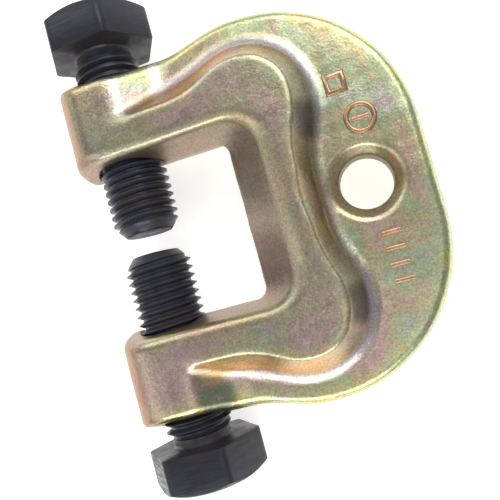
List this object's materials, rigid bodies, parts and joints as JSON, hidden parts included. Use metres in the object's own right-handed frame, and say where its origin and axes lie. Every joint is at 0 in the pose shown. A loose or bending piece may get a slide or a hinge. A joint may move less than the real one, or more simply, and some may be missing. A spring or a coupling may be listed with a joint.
{
  "type": "hanging clamp",
  "caption": "Forged C-shaped clamp with a thin outer plate, a raised rib, a hanging eye and opposed hex set bolts that grip a beam flange.",
  "frame": {"origin": "centre of the hanging eye's bore, half way through the plate", "axes": "+Z out of the front face, +X from the bolts towards the eye and the rim, +Y along the bolts"},
  "size_m": [0.1018, 0.1435, 0.0312],
  "materials": {
    "chromated_steel": "forged, shot-blasted and zinc plated with an iridescent yellow-green chromate",
    "blackened_steel": "black oxide, satin"
  },
  "bodies": {
    "body": {"forged_body": "chromated_steel"},
    "upper_screw": {"upper_bolt": "blackened_steel"},
    "lower_screw": {"lower_bolt": "blackened_steel"}
  },
  "joints": [
    {"name": "upper_bolt_travel", "type": "slide", "parent": "body", "child": "upper_screw", "axis": [0, -1, 0], "range_m": [-0.02, 0.0025]},
    {"name": "lower_bolt_travel", "type": "slide", "parent": "body", "child": "lower_screw", "axis": [0, 1, 0], "range_m": [-0.02, 0.0025]}
  ]
}
